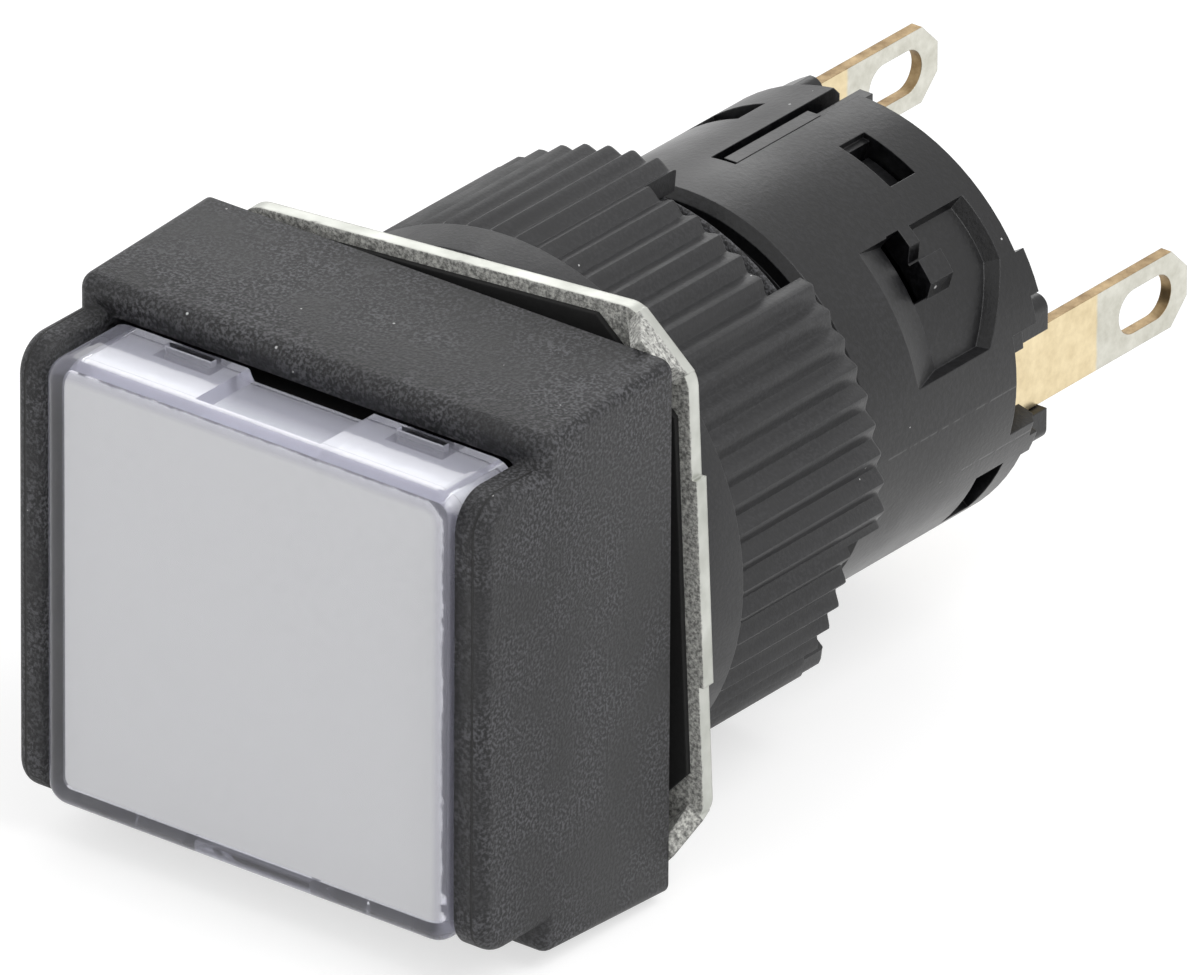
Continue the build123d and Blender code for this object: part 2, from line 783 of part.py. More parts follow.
# Contact base: plug with a key rib, snap lugs and a channel round each terminal
arm_slots = (
    (lamp_plus_x, lamp_plus_z),
    (lamp_minus_x, lamp_minus_z),
    (open_contact_x, open_arm_z),
    (closed_contact_x, closed_arm_z),
    (common_x, common_arm_z),
)
channels = (
    (lamp_plus_x, lamp_plus_z, 1),
    (lamp_minus_x, lamp_minus_z, 1),
    (open_contact_x, open_contact_z, -1),
    (closed_contact_x, closed_contact_z, -1),
    (common_x, common_z, -1),
)
half_terminal = terminal_thickness / 2
with BuildPart() as contact_base:
    with BuildSketch(across(terminal_root_y)):
        Circle(base_radius)
    extrude(amount=terminal_root_y - base_front)
    for start, end, front, rear in snap_windows:
        lug_front = max(front + base_clearance, base_front)
        with BuildSketch(across(rear - base_clearance)):
            sector(
                inside * base_radius,
                base_radius + snap_lug_reach,
                start + snap_lug_margin,
                end - snap_lug_margin,
            )
        extrude(amount=rear - base_clearance - lug_front)
    with BuildSketch(Plane.YZ.offset(key_rib_x - key_rib_width / 2)):
        with BuildLine():
            rib_top = block_radius - key_rib_sink
            Polyline(
                (key_rib_front, block_bore_radius),
                (key_rib_front, rib_top),
                (key_rib_step, rib_top),
                (key_rib_step, rib_top - key_rib_drop),
                (key_rib_rear, rib_top - key_rib_drop),
                (key_rib_rear, inside * base_radius),
                (base_front, inside * base_radius),
                (base_front, block_bore_radius),
                close=True,
            )
        make_face()
    extrude(amount=key_rib_width)
    with BuildSketch(across(terminal_root_y + base_boss_length)):
        for face_x, middle_z, side in channels:
            with Locations((face_x - half_terminal - side * base_boss_wall / 2, middle_z)):
                RectangleRounded(2 * base_boss_wall, base_boss_height, base_boss_corner)
        for face_x, middle_z, side in channels:
            with Locations((face_x - half_terminal + side * base_boss_wall, middle_z)):
                Rectangle(
                    2 * base_boss_wall + terminal_thickness + 2 * terminal_slot_clearance,
                    terminal_width + 2 * terminal_slot_clearance,
                    mode=Mode.SUBTRACT,
                )
        Circle(base_boss_radius, mode=Mode.INTERSECT)
    extrude(amount=base_boss_length)
    with BuildSketch(across(terminal_root_y)):
        with Locations((lamp_plus_x - half_terminal + base_boss_wall, lamp_plus_z)):
            Rectangle(
                2 * base_boss_wall + terminal_thickness + 2 * terminal_slot_clearance,
                terminal_width + 2 * terminal_slot_clearance,
            )
    extrude(amount=terminal_root_y - side_notch_front, mode=Mode.SUBTRACT)
    with BuildSketch(across(terminal_root_y)):
        for face_x, middle_z in arm_slots:
            with Locations((face_x - half_terminal, middle_z)):
                Rectangle(
                    terminal_thickness + 2 * terminal_slot_clearance,
                    terminal_arm_width + 2 * terminal_slot_clearance,
                )
    extrude(amount=terminal_root_y - base_front, mode=Mode.SUBTRACT)


def tab_outline(middle_z, arm_z, arm_front, root_y=terminal_root_y):
    """Side view of a flat terminal: chamfered tab with an oblong hole, and its inner arm."""
    with Locations(((root_y + terminal_tip_y) / 2, middle_z)):
        tab = Rectangle(terminal_tip_y - root_y, terminal_width)
    chamfer(tab.vertices().group_by(Axis.X)[-1], terminal_tip_chamfer)
    with Locations(((terminal_hole_front + terminal_hole_rear) / 2, middle_z)):
        SlotOverall(terminal_hole_rear - terminal_hole_front, terminal_hole_width, mode=Mode.SUBTRACT)
    with Locations(((terminal_root_y + arm_front) / 2, arm_z)):
        Rectangle(terminal_root_y - arm_front, terminal_arm_width)


# Lamp terminals: flat tabs whose inner arms touch the back of the lamp
with BuildPart() as lamp_plus_terminal:
    with BuildSketch(Plane.YZ.offset(lamp_plus_x)):
        tab_outline(lamp_plus_z, lamp_plus_z, arm_front_y, lamp_plus_root_y)
    extrude(amount=-terminal_thickness)
    with BuildSketch(across(arm_front_y + terminal_thickness)):
        with Locations(((lamp_plus_x - lamp_pad_radius) / 2, lamp_plus_z)):
            Rectangle(lamp_plus_x + lamp_pad_radius, terminal_arm_width)
    extrude(amount=terminal_thickness)
    with BuildSketch(across(arm_front_y)):
        with Locations((0, lamp_plus_z)):
            Circle(lamp_pad_radius)
    extrude(amount=arm_front_y - lamp_rear - lamp_pad_gap)

with BuildPart() as lamp_minus_terminal:
    with BuildSketch(Plane.YZ.offset(lamp_minus_x)):
        tab_outline(lamp_minus_z, lamp_minus_z, arm_front_y)
        with Locations((arm_front_y + lamp_pad_radius, (lamp_minus_z + lamp_minus_pad_z) / 2)):
            Rectangle(2 * lamp_pad_radius, lamp_minus_pad_z - lamp_minus_z)
        pad_front = lamp_rear + lamp_pad_gap
        with Locations(((pad_front + arm_front_y) / 2 + lamp_pad_radius, lamp_minus_pad_z)):
            Rectangle(arm_front_y + 2 * lamp_pad_radius - pad_front, lamp_pad_radius)
    extrude(amount=-terminal_thickness)

# Fixed contacts: flat terminals with a foot that carries a rivet
blade_top = blade_rest_height + blade_thickness / 2
closed_rivet_low = blade_top + rivet_height + rivet_gap
closed_foot_low = closed_rivet_low + rivet_height
pivot_arm = blade_pivot_y - rivet_y
swing_slope = blade_swing / (blade_pivot_y - blade_front_y - blade_tab_length / 2)
open_rivet_high = (
    blade_rest_height
    - blade_thickness / 2
    - rivet_height
    - swing_slope * (pivot_arm + rivet_radius)
    - rivet_gap
)
open_foot_high = open_rivet_high - rivet_height
foot_x = open_contact_x - terminal_thickness + contact_foot_width / 2
foot_y = arm_front_y + contact_foot_length / 2
with BuildPart() as closed_contact_terminal:
    with BuildSketch(Plane.YZ.offset(closed_contact_x)):
        tab_outline(closed_contact_z, closed_arm_z, arm_front_y)
        with Locations((foot_y, (closed_arm_z + closed_foot_low) / 2)):
            Rectangle(contact_foot_length, closed_arm_z - closed_foot_low)
    extrude(amount=-terminal_thickness)
    with BuildSketch(Plane.XY.offset(closed_foot_low)):
        with Locations((foot_x, foot_y)):
            Rectangle(contact_foot_width, contact_foot_length)
        with Locations((rivet_x, rivet_y)):
            Circle(rivet_shank_radius, mode=Mode.SUBTRACT)
    extrude(amount=terminal_thickness)

with BuildPart() as open_contact_terminal:
    with BuildSketch(Plane.YZ.offset(open_contact_x)):
        tab_outline(open_contact_z, open_arm_z, arm_front_y)
        with Locations((foot_y, (open_arm_z + open_foot_high) / 2)):
            Rectangle(contact_foot_length, open_foot_high - open_arm_z)
    extrude(amount=-terminal_thickness)
    with BuildSketch(Plane.XY.offset(open_foot_high)):
        with Locations((foot_x, foot_y)):
            Rectangle(contact_foot_width, contact_foot_length)
        with Locations((rivet_x, rivet_y)):
            Circle(rivet_shank_radius, mode=Mode.SUBTRACT)
    extrude(amount=-terminal_thickness)

# Common terminal: its arm turns in behind the blade and cradles the blade's pin
blade_inner_x = blade_outer_x + blade_width
with BuildPart() as common_terminal:
    with BuildSketch(Plane.YZ.offset(common_x)):
        tab_outline(common_z, common_arm_z, cross_plate_rear - terminal_thickness)
    extrude(amount=-terminal_thickness)
    with BuildSketch(across(cross_plate_rear)):
        with Locations(((common_x - terminal_thickness + blade_inner_x) / 2, common_arm_z)):
            Rectangle(blade_inner_x - common_x + terminal_thickness, terminal_arm_width)
    extrude(amount=terminal_thickness)
    with BuildSketch(Plane.YZ.offset(blade_outer_x)):
        with Locations(((cradle_front + cross_plate_rear) / 2, blade_rest_height)):
            Rectangle(cross_plate_rear - cradle_front, 2 * cradle_half_height)
        with Locations((blade_pivot_y, blade_rest_height)):
            Circle(blade_pin_radius + blade_pin_clearance, mode=Mode.SUBTRACT)
        opening_top = blade_top + blade_pin_clearance
        reach = blade_pivot_y - cradle_front
        drop = swing_slope * reach + blade_thickness + 2 * blade_pin_clearance
        with BuildLine():
            Polyline(
                (blade_pivot_y, opening_top),
                (cradle_front, opening_top),
                (cradle_front, opening_top - drop - blade_pin_clearance),
                (blade_pivot_y, opening_top - blade_thickness - 2 * blade_pin_clearance),
                close=True,
            )
        make_face(mode=Mode.SUBTRACT)
    extrude(amount=blade_width)

# Contact blade: a flat lever with a rolled pin at the rear and a side tab in the cam slot
with BuildPart() as contact_blade:
    with BuildSketch(Plane.XY.offset(blade_rest_height - blade_thickness / 2)):
        with Locations(((blade_outer_x + blade_inner_x) / 2, (blade_front_y + blade_pivot_y) / 2)):
            Rectangle(blade_width, blade_pivot_y - blade_front_y)
        with Locations(((blade_outer_x - blade_tab_reach) / 2, blade_front_y + blade_tab_length / 2)):
            Rectangle(blade_outer_x + blade_tab_reach, blade_tab_length)
        with Locations((rivet_x, rivet_y)):
            Circle(rivet_shank_radius, mode=Mode.SUBTRACT)
    extrude(amount=blade_thickness)
    with BuildSketch(Plane.YZ.offset(blade_outer_x)):
        with Locations((blade_pivot_y, blade_rest_height)):
            Circle(blade_pin_radius)
    extrude(amount=blade_width)

# Contact rivets: one through the blade, with a head on each side, and one on each foot
with BuildPart() as moving_rivet:
    with BuildSketch(Plane.XY.offset(blade_rest_height)):
        with Locations((rivet_x, rivet_y)):
            Circle(rivet_shank_radius)
    extrude(amount=blade_thickness / 2, both=True)
    for side in (1, -1):
        with BuildSketch(Plane.XY.offset(blade_rest_height + side * blade_thickness / 2)):
            with Locations((rivet_x, rivet_y)):
                Circle(rivet_radius)
        extrude(amount=side * rivet_height)

with BuildPart() as closed_rivet:
    with BuildSketch(Plane.XY.offset(closed_rivet_low)):
        with Locations((rivet_x, rivet_y)):
            Circle(rivet_radius)
    extrude(amount=rivet_height)
    with BuildSketch(Plane.XY.offset(closed_foot_low)):
        with Locations((rivet_x, rivet_y)):
            Circle(rivet_shank_radius)
    extrude(amount=terminal_thickness)

with BuildPart() as open_rivet:
    with BuildSketch(Plane.XY.offset(open_rivet_high)):
        with Locations((rivet_x, rivet_y)):
            Circle(rivet_radius)
    extrude(amount=-rivet_height)
    with BuildSketch(Plane.XY.offset(open_foot_high)):
        with Locations((rivet_x, rivet_y)):
            Circle(rivet_shank_radius)
    extrude(amount=-terminal_thickness)

bezel_housing.part.label = "bezel_housing"
export_step(bezel_housing.part, "parts/bezel_housing.step")
anti_rotation_ring.part.label = "anti_rotation_ring"
export_step(anti_rotation_ring.part, "parts/anti_rotation_ring.step")
panel_gasket.part.label = "panel_gasket"
export_step(panel_gasket.part, "parts/panel_gasket.step")
locking_nut.part.label = "locking_nut"
export_step(locking_nut.part, "parts/locking_nut.step")
lens.part.label = "lens"
export_step(lens.part, "parts/lens.step")
marking_plate.part.label = "marking_plate"
export_step(marking_plate.part, "parts/marking_plate.step")
diffuser.part.label = "diffuser"
export_step(diffuser.part, "parts/diffuser.step")
lens_holder.part.label = "lens_holder"
export_step(lens_holder.part, "parts/lens_holder.step")
contact_slider.part.label = "contact_slider"
export_step(contact_slider.part, "parts/contact_slider.step")
return_spring.part.label = "return_spring"
export_step(return_spring.part, "parts/return_spring.step")
contact_block_case.part.label = "contact_block_case"
export_step(contact_block_case.part, "parts/contact_block_case.step")
led_lamp.part.label = "led_lamp"
export_step(led_lamp.part, "parts/led_lamp.step")
contact_base.part.label = "contact_base"
export_step(contact_base.part, "parts/contact_base.step")
lamp_plus_terminal.part.label = "lamp_plus_terminal"
export_step(lamp_plus_terminal.part, "parts/lamp_plus_terminal.step")
lamp_minus_terminal.part.label = "lamp_minus_terminal"
export_step(lamp_minus_terminal.part, "parts/lamp_minus_terminal.step")
closed_contact_terminal.part.label = "closed_contact_terminal"
export_step(closed_contact_terminal.part, "parts/closed_contact_terminal.step")
open_contact_terminal.part.label = "open_contact_terminal"
export_step(open_contact_terminal.part, "parts/open_contact_terminal.step")
common_terminal.part.label = "common_terminal"
export_step(common_terminal.part, "parts/common_terminal.step")
contact_blade.part.label = "contact_blade"
export_step(contact_blade.part, "parts/contact_blade.step")
moving_rivet.part.label = "moving_rivet"
export_step(moving_rivet.part, "parts/moving_rivet.step")
closed_rivet.part.label = "closed_rivet"
export_step(closed_rivet.part, "parts/closed_rivet.step")
open_rivet.part.label = "open_rivet"
export_step(open_rivet.part, "parts/open_rivet.step")
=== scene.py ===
import json
import math

import bmesh
import bpy
from mathutils import Matrix, Vector


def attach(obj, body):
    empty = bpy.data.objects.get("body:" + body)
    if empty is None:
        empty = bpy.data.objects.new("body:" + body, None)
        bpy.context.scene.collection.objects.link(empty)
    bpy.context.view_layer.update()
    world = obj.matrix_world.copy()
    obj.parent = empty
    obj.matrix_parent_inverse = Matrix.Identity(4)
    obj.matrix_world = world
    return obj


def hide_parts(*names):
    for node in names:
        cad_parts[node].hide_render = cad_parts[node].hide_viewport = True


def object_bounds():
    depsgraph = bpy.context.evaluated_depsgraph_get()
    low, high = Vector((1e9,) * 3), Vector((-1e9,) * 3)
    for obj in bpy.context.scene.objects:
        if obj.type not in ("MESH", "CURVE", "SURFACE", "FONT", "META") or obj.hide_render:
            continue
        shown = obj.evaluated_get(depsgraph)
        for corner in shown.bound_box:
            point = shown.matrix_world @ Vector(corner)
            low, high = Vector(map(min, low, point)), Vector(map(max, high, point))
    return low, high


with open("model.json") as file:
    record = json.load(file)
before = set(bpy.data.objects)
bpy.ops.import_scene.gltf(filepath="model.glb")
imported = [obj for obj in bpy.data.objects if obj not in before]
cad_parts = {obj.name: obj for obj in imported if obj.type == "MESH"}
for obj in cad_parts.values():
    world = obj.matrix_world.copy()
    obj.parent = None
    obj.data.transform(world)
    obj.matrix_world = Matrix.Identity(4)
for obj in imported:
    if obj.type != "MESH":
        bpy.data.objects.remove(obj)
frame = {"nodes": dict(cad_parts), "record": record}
cad_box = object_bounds()
mm = 0.001


# Node helpers

def put(tree, kind, **values):
    """A node with the given socket values; an output socket as a value makes a link."""
    node = tree.nodes.new(kind)
    for label, value in values.items():
        socket = node.inputs[label.replace("_", " ")]
        if isinstance(value, bpy.types.NodeSocket):
            tree.links.new(value, socket)
        else:
            socket.default_value = value
    return node


def maths(tree, operation, *values):
    """Output of one math node over numbers and sockets."""
    node = tree.nodes.new("ShaderNodeMath")
    node.operation = operation
    for socket, value in zip(node.inputs, values):
        if isinstance(value, bpy.types.NodeSocket):
            tree.links.new(value, socket)
        else:
            socket.default_value = value
    return node.outputs[0]


def remap(tree, value, low, high):
    """Value from 0 at low to 1 at high, held inside that range."""
    node = put(tree, "ShaderNodeMapRange", Value=value)
    node.inputs["From Min"].default_value = low
    node.inputs["From Max"].default_value = high
    return node.outputs["Result"]


def mix_colour(tree, factor, low, high):
    """Colour from low at factor 0 to high at factor 1."""
    node = tree.nodes.new("ShaderNodeMix")
    node.data_type = "RGBA"
    for index, value in ((0, factor), (6, low), (7, high)):
        if isinstance(value, bpy.types.NodeSocket):
            tree.links.new(value, node.inputs[index])
        else:
            node.inputs[index].default_value = value
    return node.outputs[2]


def object_place(tree):
    """The point's place in its object, in metres."""
    return tree.nodes.new("ShaderNodeTexCoord").outputs["Object"]


def noise_at(tree, scale, detail, rough=0.5):
    """Noise over the part's own coordinates, in metres; scale is a number or a socket."""
    return put(
        tree, "ShaderNodeTexNoise", Vector=object_place(tree), Scale=scale, Detail=detail, Roughness=rough
    ).outputs["Fac"]


def new_group(name, inputs, outputs):
    """A shader group with the given sockets: (name, kind, default) in, (name, kind) out."""
    group = bpy.data.node_groups.new(name, "ShaderNodeTree")
    for label, kind, value in inputs:
        socket = group.interface.new_socket(label, in_out="INPUT", socket_type=kind)
        socket.default_value = value
    for label, kind in outputs:
        group.interface.new_socket(label, in_out="OUTPUT", socket_type=kind)
    return group, group.nodes.new("NodeGroupInput").outputs, group.nodes.new("NodeGroupOutput").inputs


# Shared effects of the finishes

def make_moulded_grain():
    """Grain of a spark-eroded mould: pale flecks over black, denser in cloudy patches."""
    group, given, out = new_group(
        "moulded_grain",
        [
            ("Base Color", "NodeSocketColor", (0.01, 0.01, 0.01, 1.0)),
            ("Fleck Color", "NodeSocketColor", (0.06, 0.06, 0.06, 1.0)),
            ("Fleck", "NodeSocketFloat", 0.5),
            ("Grain Size", "NodeSocketFloat", 9000.0),
            ("Patch Size", "NodeSocketFloat", 400.0),
            ("Roughness", "NodeSocketFloat", 0.5),
        ],
        [("Color", "NodeSocketColor"), ("Roughness", "NodeSocketFloat"), ("Height", "NodeSocketFloat")],
    )
    least_density, roughness_swing = 0.25, 0.1
    grain = noise_at(group, given["Grain Size"], 3.0, 0.6)
    patch = noise_at(group, given["Patch Size"], 5.0, 0.55)
    fleck = remap(group, grain, 0.45, 0.62)
    cloud = remap(group, patch, 0.38, 0.62)
    density = maths(group, "MULTIPLY_ADD", cloud, 1.0 - least_density, least_density)
    spread = maths(group, "MULTIPLY", fleck, density)
    amount = maths(group, "MULTIPLY", spread, given["Fleck"])
    group.links.new(mix_colour(group, amount, given["Base Color"], given["Fleck Color"]), out["Color"])
    rough = maths(group, "MULTIPLY_ADD", cloud, roughness_swing, given["Roughness"])
    group.links.new(rough, out["Roughness"])
    group.links.new(remap(group, grain, 0.3, 0.7), out["Height"])
    return group


def make_soft_edges():
    """Normal rounded over the edges, and a mask along them, broken up by noise, where the edges are painted
    lighter as a highlight.
    """
    group, given, out = new_group(
        "soft_edges",
        [
            ("Width", "NodeSocketFloat", 0.00008),
            ("Breakup", "NodeSocketFloat", 1600.0),
            ("Amount", "NodeSocketFloat", 0.6),
        ],
        [("Normal", "NodeSocketVector"), ("Mask", "NodeSocketFloat")],
    )
    flat_cosine, bent_cosine = 0.985, 0.88
    rounded = put(group, "ShaderNodeBevel", Radius=given["Width"])
    rounded.samples = 6
    flat = group.nodes.new("ShaderNodeNewGeometry")
    compare = group.nodes.new("ShaderNodeVectorMath")
    compare.operation = "DOT_PRODUCT"
    group.links.new(rounded.outputs["Normal"], compare.inputs[0])
    group.links.new(flat.outputs["Normal"], compare.inputs[1])
    bent = remap(group, compare.outputs["Value"], flat_cosine, bent_cosine)
    noise = noise_at(group, given["Breakup"], 4.0)
    # Painted highlight: where the edges are made lighter, broken up by noise
    highlighted_edges = maths(group, "MULTIPLY", bent, remap(group, noise, 0.4, 0.6))
    group.links.new(maths(group, "MULTIPLY", highlighted_edges, given["Amount"]), out["Mask"])
    group.links.new(rounded.outputs["Normal"], out["Normal"])
    return group


def make_dust():
    """Sparse pale specks of dust and moulding flash."""
    largest_speck = 0.09
    group, given, out = new_group(
        "dust",
        [("Size", "NodeSocketFloat", 1400.0), ("Share", "NodeSocketFloat", 0.2)],
        [("Mask", "NodeSocketFloat")],
    )
    cells = put(group, "ShaderNodeTexVoronoi", Vector=object_place(group), Scale=given["Size"])
    split = put(group, "ShaderNodeSeparateColor", Color=cells.outputs["Color"])
    chosen = maths(group, "LESS_THAN", split.outputs[0], given["Share"])
    speck = maths(group, "MULTIPLY", split.outputs[1], largest_speck)
    close = maths(group, "LESS_THAN", cells.outputs["Distance"], speck)
    group.links.new(maths(group, "MULTIPLY", chosen, close), out["Mask"])
    return group


moulded_grain = make_moulded_grain()
soft_edges = make_soft_edges()
dust = make_dust()


def place_group(tree, group, **values):
    """A placed shader group with the given input values."""
    node = tree.nodes.new("ShaderNodeGroup")
    node.node_tree = group
    for label, value in values.items():
        node.inputs[label.replace("_", " ")].default_value = value
    return node


def blank(name):
    """A new material, its node tree and its Principled shader."""
    material = bpy.data.materials.new(name)
    material.use_nodes = True
    tree = material.node_tree
    return material, tree, tree.nodes["Principled BSDF"]


def raise_surface(tree, shader, height, strength, distance, normal=None):
    """Feed the shader's normal from a height, over the given normal where there is one."""
    raised = put(tree, "ShaderNodeBump", Height=height, Strength=strength, Distance=distance)
    if normal:
        tree.links.new(normal, raised.inputs["Normal"])
    tree.links.new(raised.outputs["Normal"], shader.inputs["Normal"])


# Finishes

def moulded_plastic(
    name, base, fleck_colour, fleck, grain_size, patch_size, roughness, bump,
    line=None, edge_highlight=0.4, edge=0.08,
):
    """Black moulded plastic: its mould's grain, softened edges painted lighter as a highlight, dust and,
    where given, a line: a parting line, or on the block a seam and a painted highlight along a crease.
    """
    # Colour of the painted highlight along the edges
    edge_highlight_colour = (*[1.6 * c for c in fleck_colour], 1.0)
    dust_colour = (0.5, 0.5, 0.5, 1.0)
    line_sink = -2.0
    material, tree, shader = blank(name)
    grain = place_group(
        tree, moulded_grain,
        Base_Color=(*base, 1.0), Fleck_Color=(*fleck_colour, 1.0), Fleck=fleck,
        Grain_Size=grain_size, Patch_Size=patch_size, Roughness=roughness,
    )
    edges = place_group(tree, soft_edges, Width=edge * mm, Amount=edge_highlight)
    specks = place_group(tree, dust)
    # Painted highlight: the edges made lighter along the soft-edge mask
    colour = mix_colour(tree, edges.outputs["Mask"], grain.outputs["Color"], edge_highlight_colour)
    colour = mix_colour(tree, specks.outputs["Mask"], colour, dust_colour)
    height = grain.outputs["Height"]
    if line:
        mask, pale = line(tree)
        colour = mix_colour(tree, mask, colour, (pale, pale, pale, 1.0))
        height = maths(tree, "MULTIPLY_ADD", mask, line_sink, height)
    tree.links.new(colour, shader.inputs["Base Color"])
    tree.links.new(grain.outputs["Roughness"], shader.inputs["Roughness"])
    raise_surface(tree, shader, height, bump, 0.02 * mm, edges.outputs["Normal"])
    return material


def wing_parting(tree):
    """Mask and tone of the fine line down the front of each guard wing."""
    wing_middle, wing_front = 8.57 * mm, -6.2 * mm
    line_clear, line_full = 0.05 * mm, 0.02 * mm
    line_tone = 0.002
    split = put(tree, "ShaderNodeSeparateXYZ", Vector=object_place(tree)).outputs
    off = maths(tree, "SUBTRACT", maths(tree, "ABSOLUTE", split["X"]), wing_middle)
    near = remap(tree, maths(tree, "ABSOLUTE", off), line_clear, line_full)
    front = maths(tree, "LESS_THAN", split["Y"], wing_front)
    return maths(tree, "MULTIPLY", near, front), line_tone


def block_seam_and_crease_highlight(tree):
    """Mask and tone of the broken pale seam along the block's side, and of a pale line along a leaning crease
    behind, which is a painted highlight.
    """
    seam_drop, crease_front, right_side = 0.1 * mm, 16.1 * mm, 3.0 * mm
    # Pale tone of the seam, and of the painted highlight along the crease
    seam_and_highlight_tone = 0.05
    split = put(tree, "ShaderNodeSeparateXYZ", Vector=object_place(tree)).outputs
    seam_off = maths(tree, "ABSOLUTE", maths(tree, "ADD", split["Z"], seam_drop))
    seam = remap(tree, seam_off, 0.04 * mm, 0.015 * mm)
    lean = math.radians(17.8)
    crease_off = maths(
        tree, "ADD",
        maths(tree, "MULTIPLY", split["Z"], math.cos(lean)),
        maths(tree, "MULTIPLY", split["X"], math.sin(lean)),
    )
    # Painted highlight: a thin pale line along the leaning crease
    crease_highlight = remap(tree, maths(tree, "ABSOLUTE", crease_off), 0.06 * mm, 0.01 * mm)
    behind = maths(tree, "GREATER_THAN", split["Y"], crease_front)
    both = maths(tree, "MAXIMUM", seam, maths(tree, "MULTIPLY", crease_highlight, behind))
    right = maths(tree, "GREATER_THAN", split["X"], right_side)
    broken = remap(tree, noise_at(tree, 2500.0, 3.0), 0.42, 0.56)
    return maths(tree, "MULTIPLY", maths(tree, "MULTIPLY", both, right), broken), seam_and_highlight_tone


def metal(name, base, dull, roughness, patch_size, bump):
    """Sheet metal with uneven brightness and rounded edges."""
    material, tree, shader = blank(name)
    grain = place_group(
        tree, moulded_grain,
        Base_Color=(*base, 1.0), Fleck_Color=(*dull, 1.0), Fleck=1.0,
        Grain_Size=6000.0, Patch_Size=patch_size, Roughness=roughness,
    )
    edges = place_group(tree, soft_edges, Width=0.04 * mm)
    tree.links.new(grain.outputs["Color"], shader.inputs["Base Color"])
    tree.links.new(grain.outputs["Roughness"], shader.inputs["Roughness"])
    raise_surface(tree, shader, grain.outputs["Height"], bump, 0.01 * mm, edges.outputs["Normal"])
    shader.inputs["Metallic"].default_value = 1.0
    return material


def ring_steel():
    """Nickel-plated spring steel: bright sheared edges round a grey, grainy face."""
    ring_slope, ring_front = 0.055, 1.27 * mm
    feet_start, feet_full = 0.62 * mm, 0.72 * mm
    dark_face, pale_face = (0.26, 0.26, 0.25, 1.0), (0.74, 0.74, 0.71, 1.0)
    dark_rim, pale_rim = (0.46, 0.47, 0.43, 1.0), (0.62, 0.63, 0.59, 1.0)
    material, tree, shader = blank("plated_steel")
    facing = put(tree, "ShaderNodeSeparateXYZ", Vector=tree.nodes.new("ShaderNodeTexCoord").outputs["Normal"])
    wobble = maths(tree, "MULTIPLY_ADD", noise_at(tree, 2600.0, 3.0), 0.25, -0.125)
    front = maths(tree, "MULTIPLY", facing.outputs["Y"], -1.0)
    flat = remap(tree, maths(tree, "ADD", front, wobble), 0.12, 0.3)
    place = put(tree, "ShaderNodeSeparateXYZ", Vector=object_place(tree)).outputs
    level = maths(tree, "SUBTRACT", ring_front, place["Y"])
    ahead = maths(tree, "MULTIPLY_ADD", place["X"], ring_slope, level)
    ragged = maths(tree, "MULTIPLY_ADD", noise_at(tree, 1500.0, 2.0), 0.3 * mm, ahead)
    flat = maths(tree, "MAXIMUM", flat, remap(tree, ragged, feet_start, feet_full))
    grain = noise_at(tree, 8000.0, 4.0, 0.7)
    face = mix_colour(tree, remap(tree, grain, 0.36, 0.62), dark_face, pale_face)
    patches = remap(tree, noise_at(tree, 900.0, 4.0), 0.3, 0.7)
    rim = mix_colour(tree, patches, dark_rim, pale_rim)
    tree.links.new(mix_colour(tree, flat, rim, face), shader.inputs["Base Color"])
    tree.links.new(maths(tree, "MULTIPLY_ADD", flat, 0.5, 0.4), shader.inputs["Roughness"])
    edges = place_group(tree, soft_edges, Width=0.1 * mm)
    height = maths(tree, "MULTIPLY", grain, flat)
    raise_surface(tree, shader, height, 0.8, 0.02 * mm, edges.outputs["Normal"])
    shader.inputs["Metallic"].default_value = 1.0
    return material


